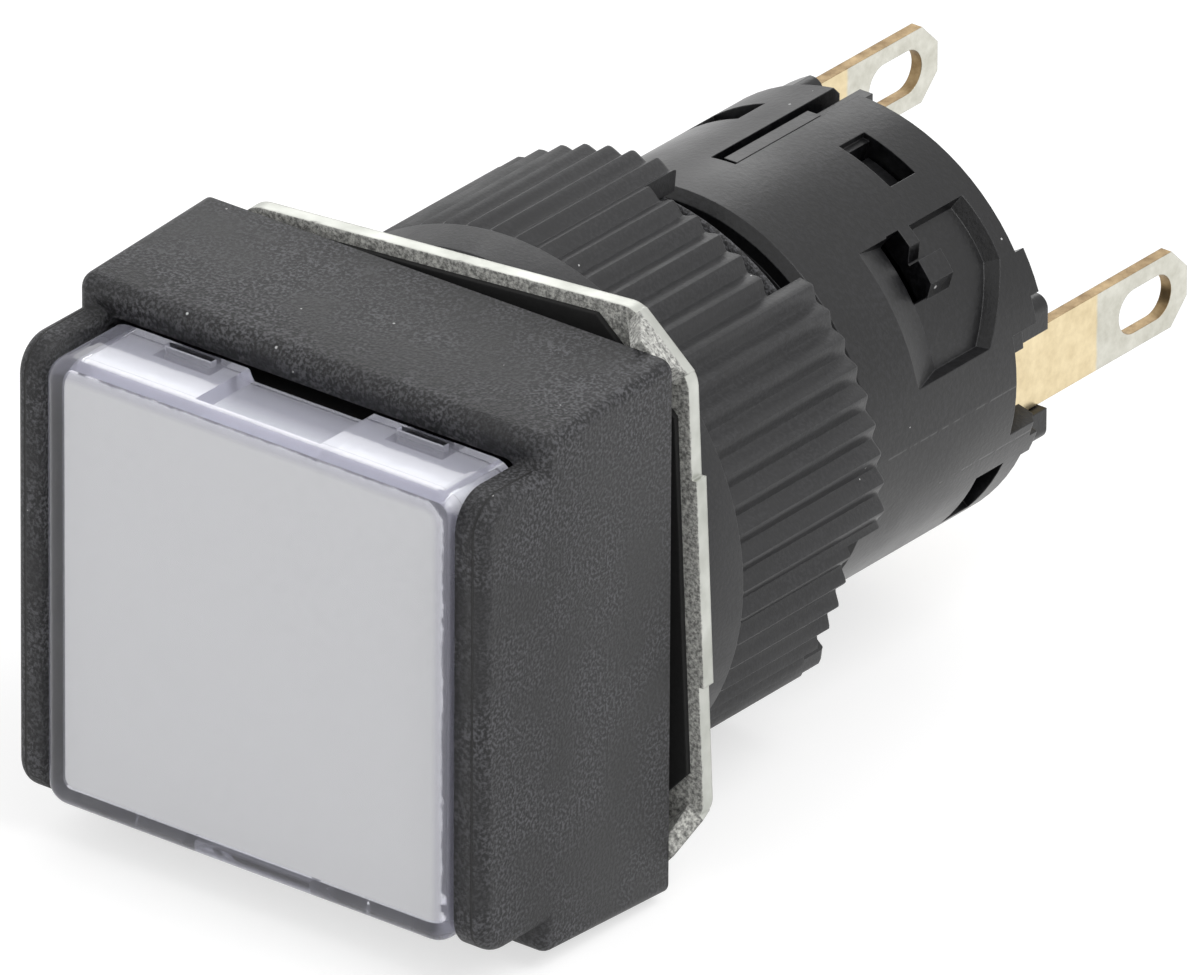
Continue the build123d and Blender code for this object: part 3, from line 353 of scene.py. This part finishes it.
def clear_lens():
    """Clear moulded lens: see-through over the plate, faintly milky and violet in its walls, with its rounded
    edges tinted darker as painted shade.
    """
    material, tree, shader = blank("clear_lens")
    shader.inputs["Roughness"].default_value = 0.06
    shader.inputs["IOR"].default_value = 1.49
    shader.inputs["Transmission Weight"].default_value = 1.0
    raise_surface(tree, shader, noise_at(tree, 1400.0, 3.0), 0.2, 0.03 * mm)
    tint = (0.42, 0.42, 0.5, 1.0)
    open_colour, rounding_shade_colour = (0.93, 0.94, 0.96, 1.0), (0.62, 0.62, 0.69, 1.0)
    wall_haze, least_haze = 0.18, 0.02
    haze = tree.nodes.new("ShaderNodeAddShader")
    lit = put(tree, "ShaderNodeBsdfDiffuse", Color=tint)
    glow = put(tree, "ShaderNodeBsdfTranslucent", Color=tint)
    tree.links.new(lit.outputs["BSDF"], haze.inputs[0])
    tree.links.new(glow.outputs["BSDF"], haze.inputs[1])
    facing = put(tree, "ShaderNodeSeparateXYZ", Vector=tree.nodes.new("ShaderNodeTexCoord").outputs["Normal"])
    along = maths(tree, "ABSOLUTE", facing.outputs["Y"])
    wall = remap(tree, along, 0.97, 0.8)
    # Painted shade: the rounded edges tinted darker grey-violet
    edge_shade_mask = maths(tree, "MULTIPLY", remap(tree, along, 0.1, 0.4), remap(tree, along, 0.985, 0.9))
    clear = mix_colour(tree, edge_shade_mask, open_colour, rounding_shade_colour)
    tree.links.new(clear, shader.inputs["Base Color"])
    cloudy = tree.nodes.new("ShaderNodeMixShader")
    tree.links.new(maths(tree, "MULTIPLY_ADD", wall, wall_haze, least_haze), cloudy.inputs[0])
    tree.links.new(shader.outputs["BSDF"], cloudy.inputs[1])
    tree.links.new(haze.outputs["Shader"], cloudy.inputs[2])
    through = tree.nodes.new("ShaderNodeBsdfTransparent")
    path = tree.nodes.new("ShaderNodeLightPath").outputs
    either = maths(tree, "MAXIMUM", path["Is Shadow Ray"], path["Is Diffuse Ray"])
    mixed = tree.nodes.new("ShaderNodeMixShader")
    tree.links.new(either, mixed.inputs[0])
    tree.links.new(cloudy.outputs["Shader"], mixed.inputs[1])
    tree.links.new(through.outputs["BSDF"], mixed.inputs[2])
    tree.links.new(mixed.outputs["Shader"], tree.nodes["Material Output"].inputs["Surface"])
    return material


def white_plastic(name, base, dull, roughness, painted_shade=None):
    """White plastic with a few dark specks; where given, the last argument is a painted shade: a darker
    colour blended in towards the rear, where the part runs back behind the plate into shadow.
    """
    painted_shade_start, painted_shade_full = -7.8 * mm, -6.9 * mm
    speck_colour = (0.12, 0.12, 0.12, 1.0)
    material, tree, shader = blank(name)
    grain = place_group(
        tree, moulded_grain,
        Base_Color=(*base, 1.0), Fleck_Color=(*dull, 1.0), Fleck=0.6,
        Grain_Size=3000.0, Patch_Size=160.0, Roughness=roughness,
    )
    specks = place_group(tree, dust, Size=260.0, Share=0.03)
    colour = mix_colour(tree, specks.outputs["Mask"], grain.outputs["Color"], speck_colour)
    if painted_shade:
        # Painted shade: darker towards the rear, where the part lies in shadow behind the plate
        split = put(tree, "ShaderNodeSeparateXYZ", Vector=object_place(tree)).outputs
        back = remap(tree, split["Y"], painted_shade_start, painted_shade_full)
        colour = mix_colour(tree, back, colour, (*painted_shade, 1.0))
    tree.links.new(colour, shader.inputs["Base Color"])
    tree.links.new(grain.outputs["Roughness"], shader.inputs["Roughness"])
    return material


def terminal_finish():
    """Gold-coloured brass at the root, a duller tinned tip, and bare brass on the sheared edges."""
    tin_start, tin_full = 25.5 * mm, 25.62 * mm
    material, tree, shader = blank("plated_brass")
    split = put(tree, "ShaderNodeSeparateXYZ", Vector=object_place(tree))
    along = maths(tree, "MULTIPLY_ADD", noise_at(tree, 900.0, 2.0), 0.25 * mm, split.outputs["Y"])
    tip = remap(tree, along, tin_start, tin_full)
    streaks = remap(tree, noise_at(tree, 1500.0, 4.0, 0.65), 0.3, 0.7)
    gold = mix_colour(tree, streaks, (0.66, 0.54, 0.33, 1.0), (0.84, 0.71, 0.46, 1.0))
    tin = mix_colour(tree, streaks, (0.52, 0.51, 0.44, 1.0), (0.7, 0.69, 0.62, 1.0))
    plated = mix_colour(tree, tip, gold, tin)
    facing = put(tree, "ShaderNodeSeparateXYZ", Vector=tree.nodes.new("ShaderNodeTexCoord").outputs["Normal"])
    sheared = remap(tree, maths(tree, "ABSOLUTE", facing.outputs["X"]), 0.75, 0.5)
    bare = mix_colour(tree, streaks, (0.2, 0.13, 0.06, 1.0), (0.46, 0.34, 0.19, 1.0))
    tree.links.new(mix_colour(tree, sheared, plated, bare), shader.inputs["Base Color"])
    tree.links.new(maths(tree, "MULTIPLY_ADD", sheared, 0.15, 0.3), shader.inputs["Roughness"])
    edges = place_group(tree, soft_edges, Width=0.05 * mm)
    raise_surface(tree, shader, noise_at(tree, 5000.0, 3.0), 0.3, 0.01 * mm, edges.outputs["Normal"])
    shader.inputs["Metallic"].default_value = 1.0
    return material


finishes = {
    "head_black": moulded_plastic(
        "head_black", base=(0.003, 0.003, 0.004), fleck_colour=(0.12, 0.12, 0.13), fleck=0.75,
        grain_size=9000.0, patch_size=420.0, roughness=0.5, bump=1.0, line=wing_parting,
    ),
    "nut_black": moulded_plastic(
        "nut_black", base=(0.009, 0.009, 0.01), fleck_colour=(0.045, 0.045, 0.049), fleck=0.35,
        grain_size=8000.0, patch_size=500.0, roughness=0.4, bump=0.25, edge=0.03,
    ),
    "block_black": moulded_plastic(
        "block_black", base=(0.002, 0.002, 0.0025), fleck_colour=(0.022, 0.022, 0.025), fleck=0.4,
        grain_size=6000.0, patch_size=260.0, roughness=0.28, bump=0.2, line=block_seam_and_crease_highlight, edge=0.05,
    ),
    "inner_black": moulded_plastic(
        "inner_black", base=(0.004, 0.004, 0.004), fleck_colour=(0.02, 0.02, 0.02), fleck=0.4,
        grain_size=6000.0, patch_size=260.0, roughness=0.5, bump=0.2,
    ),
    "black_rubber": moulded_plastic(
        "black_rubber", base=(0.003, 0.003, 0.003), fleck_colour=(0.01, 0.01, 0.01), fleck=0.4,
        grain_size=6000.0, patch_size=260.0, roughness=0.8, bump=0.3, edge_highlight=0.1,
    ),
    "plated_steel": ring_steel(),
    "spring_steel": metal(
        "spring_steel", base=(0.7, 0.7, 0.68), dull=(0.5, 0.5, 0.5),
        roughness=0.25, patch_size=400.0, bump=0.2,
    ),
    "contact_silver": metal(
        "contact_silver", base=(0.85, 0.85, 0.82), dull=(0.7, 0.7, 0.68),
        roughness=0.22, patch_size=400.0, bump=0.1,
    ),
    "blade_brass": metal(
        "blade_brass", base=(0.8, 0.55, 0.26), dull=(0.65, 0.42, 0.2),
        roughness=0.26, patch_size=400.0, bump=0.2,
    ),
    "plated_brass": terminal_finish(),
    "clear_lens": clear_lens(),
    "white_plate": white_plastic(
        "white_plate", base=(0.79, 0.785, 0.79), dull=(0.76, 0.755, 0.76), roughness=0.5
    ),
    # Painted shade darkens the diffuser towards the rear
    "milky_diffuser": white_plastic(
        "milky_diffuser", base=(0.78, 0.79, 0.8), dull=(0.72, 0.73, 0.74),
        roughness=0.5, painted_shade=(0.33, 0.33, 0.35),
    ),
    "lamp_white": white_plastic(
        "lamp_white", base=(0.82, 0.82, 0.78), dull=(0.74, 0.74, 0.7), roughness=0.25
    ),
}
for entry in frame["record"]["subparts"]:
    piece = frame["nodes"][entry["node"]]
    piece.data.materials.clear()
    piece.data.materials.append(finishes[entry["material_slot"]])


# Pieces whose shape needs more than the solids carry

def link_mesh(name, mesh):
    """A new object with the mesh, placed in the scene."""
    piece = bpy.data.objects.new(name, mesh)
    bpy.context.scene.collection.objects.link(piece)
    return piece


def loft(name, rows, closed_rows):
    """Mesh through rows of points that run round the axis, each row closed on itself."""
    mesh = bpy.data.meshes.new(name)
    bm = bmesh.new()
    made = [[bm.verts.new(point) for point in row] for row in rows]
    count = len(rows[0])
    pairs = list(zip(made, made[1:]))
    if closed_rows:
        pairs.append((made[-1], made[0]))
    for low, high in pairs:
        for i in range(count):
            j = (i + 1) % count
            bm.faces.new((low[i], low[j], high[j], high[i]))
    bmesh.ops.recalc_face_normals(bm, faces=bm.faces)
    bm.to_mesh(mesh)
    bm.free()
    return mesh


def cut(piece, cutter):
    """Take the cutter out of the piece for good, and remove the cutter."""
    tool = piece.modifiers.new("cut", "BOOLEAN")
    tool.operation = "DIFFERENCE"
    tool.solver = "EXACT"
    tool.object = cutter
    result = bpy.data.meshes.new_from_object(piece.evaluated_get(bpy.context.evaluated_depsgraph_get()))
    piece.modifiers.clear()
    piece.data = result
    bpy.data.objects.remove(cutter)


def finish_piece(piece, body, node, slot, sharp_above):
    """Smooth shading below an angle in degrees, finish and place of a piece that stands for a node."""
    piece.data.materials.clear()
    piece.data.materials.append(finishes[slot])
    for face in piece.data.polygons:
        face.use_smooth = True
        face.material_index = 0
    piece.data.set_sharp_from_angle(angle=math.radians(sharp_above))
    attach(piece, body)
    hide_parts(node)


def polar(radius, angle, y):
    """Point at a radius in mm and an angle from +X towards +Z, at station y in mm."""
    return (radius * mm * math.cos(angle), y * mm, radius * mm * math.sin(angle))


def fluted_nut():
    """Locking nut: smooth collar, sixty rounded flutes and four slots for a ring wrench."""
    flutes, steps = 60, 10
    bore, crest, flute_depth = 8.05, 9.0, 0.28
    front, rear = 2.1, 10.65
    flatness = 0.9
    first_slot, slot_half_angle = 67.0, math.radians(17.5)
    slot_floor, slot_mouth, slot_front, slot_rear = 7.4, 9.6, 8.95, 11.2
    angles = [2 * math.pi * i / (flutes * steps) for i in range(flutes * steps)]
    phase = math.radians(4.8)

    def wave(angle, top, depth):
        """Radius at an angle of flutes with rounded crests and valleys."""
        swing = math.asin(flatness * math.cos(flutes * (angle - phase))) / math.asin(flatness)
        return top - depth * (0.5 - 0.5 * swing)

    # Station along the axis, radius at the crests and depth of the flutes, from front to rear, in mm
    profile = [
        (front, bore, 0.0), (front, 8.77, 0.0), (2.17, 8.85, 0.0), (3.55, 8.99, 0.0), (3.6, 8.98, 0.0),
        (3.64, 8.97, 0.26), (3.8, crest, flute_depth), (10.5, crest, flute_depth), (10.61, 8.95, 0.26),
        (rear, 8.87, 0.22), (rear, bore, 0.0),
    ]
    rows = [[polar(wave(a, top, depth), a, y) for a in angles] for y, top, depth in profile]
    nut = link_mesh("fluted_nut", loft("fluted_nut", rows, True))
    for quarter in range(4):
        middle = math.radians(first_slot + 90.0 * quarter)
        sweep = [middle + slot_half_angle * (i / 6.0 - 1.0) for i in range(13)]
        section = [polar(slot_floor, a, 0.0) for a in sweep]
        section += [polar(slot_mouth, a, 0.0) for a in reversed(sweep)]
        ends = [[(x, y * mm, z) for x, _, z in section] for y in (slot_front, slot_rear)]
        mesh = loft("slot_cutter", ends, False)
        bm = bmesh.new()
        bm.from_mesh(mesh)
        bmesh.ops.holes_fill(bm, edges=[e for e in bm.edges if e.is_boundary])
        bmesh.ops.recalc_face_normals(bm, faces=bm.faces)
        bm.to_mesh(mesh)
        bm.free()
        cut(nut, link_mesh("slot_cutter", mesh))
    finish_piece(nut, "nut", "locking_nut", "nut_black", sharp_above=38)


def thread_cutter():
    """Helical wedge of the barrel's thread: 1 mm pitch, right-handed, running in at both ends."""
    turns, steps = 8.2, 64
    pitch, start = 1.0, 0.95
    surface, depth = 8.02, 0.5
    mouth, half_mouth = 8.4, 0.42
    run_in_steps = 0.12 * steps
    count = int(turns * steps)
    mesh = bpy.data.meshes.new("thread_cutter")
    bm = bmesh.new()
    rings = []
    for i in range(count + 1):
        angle = 2 * math.pi * i / steps
        y = start + pitch * angle / (2 * math.pi)
        run_in = min(1.0, i / run_in_steps, (count - i) / run_in_steps)
        wedge = ((surface - depth * run_in, 0.0), (mouth, half_mouth), (mouth, -half_mouth))
        rings.append([bm.verts.new(polar(r, angle, y + w)) for r, w in wedge])
    for low, high in zip(rings, rings[1:]):
        for i in range(3):
            j = (i + 1) % 3
            bm.faces.new((low[i], low[j], high[j], high[i]))
    bm.faces.new(rings[0])
    bm.faces.new(reversed(rings[-1]))
    bmesh.ops.recalc_face_normals(bm, faces=bm.faces)
    bm.to_mesh(mesh)
    bm.free()
    return link_mesh("thread_cutter", mesh)


def threaded_housing():
    """Head and barrel, with the thread cut into the barrel."""
    same_point = 0.0005 * mm
    bm = bmesh.new()
    bm.from_mesh(frame["nodes"]["bezel_housing"].data)
    bmesh.ops.remove_doubles(bm, verts=bm.verts, dist=same_point)
    mesh = bpy.data.meshes.new("threaded_housing")
    bm.to_mesh(mesh)
    bm.free()
    housing = link_mesh("threaded_housing", mesh)
    cut(housing, thread_cutter())
    finish_piece(housing, "body", "bezel_housing", "head_black", sharp_above=30)


fluted_nut()
threaded_housing()


# Camera, lights and floor

def aim_camera():
    """Camera solved from the head's edges and the barrel's outline in the photograph."""
    azimuth, elevation, roll = math.radians(38.0), math.radians(27.0), math.radians(0.32)
    distance, right_mm, up_mm = 1.0, 4.973, 1.71
    focal_pixels, photo_width, sensor = 33146.0, 1200.0, 36.0
    back = Vector((
        math.sin(azimuth) * math.cos(elevation),
        -math.cos(azimuth) * math.cos(elevation),
        math.sin(elevation),
    ))
    right = Vector((math.cos(azimuth), math.sin(azimuth), 0.0))
    up = back.cross(right)
    level = right * math.cos(roll) + up * math.sin(roll)
    upright = up * math.cos(roll) - right * math.sin(roll)
    position = back * distance + level * right_mm * mm + upright * up_mm * mm
    lens = bpy.data.cameras.new("photo_camera")
    lens.sensor_width = sensor
    lens.lens = focal_pixels / photo_width * sensor
    lens.clip_start = 0.05
    lens.clip_end = 20.0
    camera = bpy.data.objects.new("photo_camera", lens)
    bpy.context.scene.collection.objects.link(camera)
    camera.matrix_world = Matrix((
        (level.x, upright.x, back.x, position.x),
        (level.y, upright.y, back.y, position.y),
        (level.z, upright.z, back.z, position.z),
        (0.0, 0.0, 0.0, 1.0),
    ))
    bpy.context.scene.camera = camera


def softbox(name, place, size, power):
    """Square area light in metres and watts, aimed at the middle of the part."""
    light = bpy.data.lights.new(name, "AREA")
    light.shape = "RECTANGLE"
    light.size, light.size_y = size
    light.energy = power
    lamp = bpy.data.objects.new(name, light)
    bpy.context.scene.collection.objects.link(lamp)
    lamp.location = place
    part_middle = Vector((0.0, 0.006, 0.0))
    aim = part_middle - Vector(place)
    lamp.rotation_euler = aim.to_track_quat("-Z", "Y").to_euler()


def seen_directly(tree):
    """1 where a ray comes from the camera, a reflection or through the lens, else 0."""
    path = tree.nodes.new("ShaderNodeLightPath").outputs
    either = maths(tree, "MAXIMUM", path["Is Camera Ray"], path["Is Glossy Ray"])
    return maths(tree, "MAXIMUM", either, path["Is Transmission Ray"])


def white_floor():
    """White table that stays white where it is clear and keeps a soft shadow under the part."""
    low = cad_box[0][2]
    reach, grey, glow_strength = 1.2, 0.5, 0.62
    mesh = bpy.data.meshes.new("floor")
    mesh.from_pydata(
        [(-reach, -reach, low), (reach, -reach, low), (reach, reach, low), (-reach, reach, low)],
        [],
        [(0, 1, 2, 3)],
    )
    floor = link_mesh("floor", mesh)
    material, tree, shader = blank("white_floor")
    shader.inputs["Base Color"].default_value = (grey, grey, grey, 1.0)
    shader.inputs["Roughness"].default_value = 1.0
    shader.inputs["Specular IOR Level"].default_value = 0.0
    strength = maths(tree, "MULTIPLY", seen_directly(tree), glow_strength)
    glow = put(tree, "ShaderNodeEmission", Strength=strength)
    both = tree.nodes.new("ShaderNodeAddShader")
    tree.links.new(shader.outputs["BSDF"], both.inputs[0])
    tree.links.new(glow.outputs["Emission"], both.inputs[1])
    tree.links.new(both.outputs["Shader"], tree.nodes["Material Output"].inputs["Surface"])
    mesh.materials.append(material)


def white_sky():
    """White studio: plain soft light on the part, full white where it is seen directly."""
    light_strength = 0.8
    world = bpy.data.worlds.new("studio")
    bpy.context.scene.world = world
    world.use_nodes = True
    tree = world.node_tree
    strength = maths(tree, "MULTIPLY_ADD", seen_directly(tree), 1.0 - light_strength, light_strength)
    tree.links.new(strength, tree.nodes["Background"].inputs["Strength"])
    tree.nodes["Background"].inputs["Color"].default_value = (1.0, 1.0, 1.0, 1.0)


aim_camera()
white_floor()
white_sky()
softbox("key", place=(0.4, 0.02, 0.55), size=(0.4, 0.4), power=1.8)
softbox("rear", place=(-0.42, 0.6, 0.42), size=(0.3, 0.3), power=0.5)
bpy.context.scene.view_settings.view_transform = "Standard"
